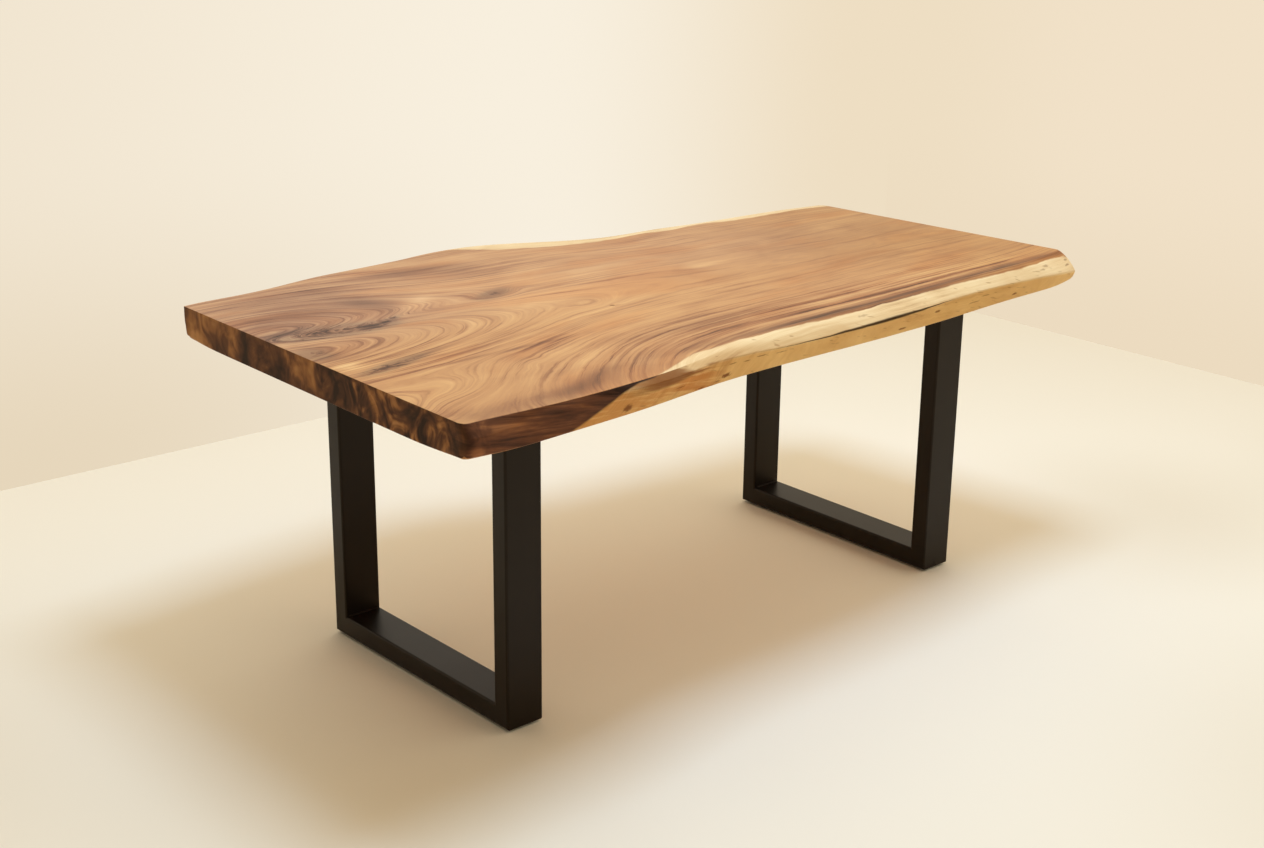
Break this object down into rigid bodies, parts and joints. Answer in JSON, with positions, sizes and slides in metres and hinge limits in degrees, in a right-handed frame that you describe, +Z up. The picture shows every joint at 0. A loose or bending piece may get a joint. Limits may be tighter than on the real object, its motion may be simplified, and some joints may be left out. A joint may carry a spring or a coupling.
{
  "type": "live edge dining table",
  "caption": "Long dining table: one thick timber slab with natural bark edges, standing on two mitred rectangular steel tube frames with screw-in levelling feet.",
  "frame": {"origin": "on the floor, under the middle of the table's own box", "axes": "+X along the table towards the narrow end, +Y to the back, where the sawn corner is less square, +Z up"},
  "size_m": [1.9114, 1.0991, 0.76],
  "materials": {
    "timber": "satin hardwax oil, heartwood brown with pale sapwood along the live edges",
    "powder_coated_steel": "black satin powder coat",
    "zinc_plated_steel": "bright zinc plating",
    "nylon": "matt black moulding"
  },
  "bodies": {
    "table": {"left_bottom_rail": "powder_coated_steel", "left_front_foot_nut": "zinc_plated_steel", "left_front_upright": "powder_coated_steel", "left_mounting_plate": "powder_coated_steel", "left_rear_foot_nut": "zinc_plated_steel", "left_rear_upright": "powder_coated_steel", "left_slab_bolts": "zinc_plated_steel", "left_threaded_inserts": "zinc_plated_steel", "right_bottom_rail": "powder_coated_steel", "right_front_foot_nut": "zinc_plated_steel", "right_front_upright": "powder_coated_steel", "right_mounting_plate": "powder_coated_steel", "right_rear_foot_nut": "zinc_plated_steel", "right_rear_upright": "powder_coated_steel", "right_slab_bolts": "zinc_plated_steel", "right_threaded_inserts": "zinc_plated_steel", "slab_top": "timber"},
    "left_front_pad": {"left_front_foot_pad": "nylon"},
    "left_front_stud": {"left_front_foot_stud": "zinc_plated_steel"},
    "left_rear_pad": {"left_rear_foot_pad": "nylon"},
    "left_rear_stud": {"left_rear_foot_stud": "zinc_plated_steel"},
    "right_front_pad": {"right_front_foot_pad": "nylon"},
    "right_front_stud": {"right_front_foot_stud": "zinc_plated_steel"},
    "right_rear_pad": {"right_rear_foot_pad": "nylon"},
    "right_rear_stud": {"right_rear_foot_stud": "zinc_plated_steel"}
  },
  "joints": [
    {"name": "left_front_foot_height", "type": "slide", "parent": "table", "child": "left_front_pad", "axis": [0, 0, 1], "range_m": [-0.012, 0]},
    {"name": "left_front_stud_turn", "type": "hinge", "parent": "left_front_pad", "child": "left_front_stud", "pos_m": [-0.66429, -0.28471, 0.02], "axis": [0, 0, 1], "range_deg": [-3457, 0]},
    {"name": "left_rear_foot_height", "type": "slide", "parent": "table", "child": "left_rear_pad", "axis": [0, 0, 1], "range_m": [-0.012, 0]},
    {"name": "left_rear_stud_turn", "type": "hinge", "parent": "left_rear_pad", "child": "left_rear_stud", "pos_m": [-0.66429, 0.25529, 0.02], "axis": [0, 0, 1], "range_deg": [-3457, 0]},
    {"name": "right_front_foot_height", "type": "slide", "parent": "table", "child": "right_front_pad", "axis": [0, 0, 1], "range_m": [-0.012, 0]},
    {"name": "right_front_stud_turn", "type": "hinge", "parent": "right_front_pad", "child": "right_front_stud", "pos_m": [0.61571, -0.28471, 0.02], "axis": [0, 0, 1], "range_deg": [-3457, 0]},
    {"name": "right_rear_foot_height", "type": "slide", "parent": "table", "child": "right_rear_pad", "axis": [0, 0, 1], "range_m": [-0.012, 0]},
    {"name": "right_rear_stud_turn", "type": "hinge", "parent": "right_rear_pad", "child": "right_rear_stud", "pos_m": [0.61571, 0.25529, 0.02], "axis": [0, 0, 1], "range_deg": [-3457, 0]}
  ],
  "couplings": [
    {"joint": "left_front_stud_turn", "follows": "left_front_foot_height", "rad_per_m": 5026.5},
    {"joint": "left_rear_stud_turn", "follows": "left_rear_foot_height", "rad_per_m": 5026.5},
    {"joint": "right_front_stud_turn", "follows": "right_front_foot_height", "rad_per_m": 5026.5},
    {"joint": "right_rear_stud_turn", "follows": "right_rear_foot_height", "rad_per_m": 5026.5}
  ]
}
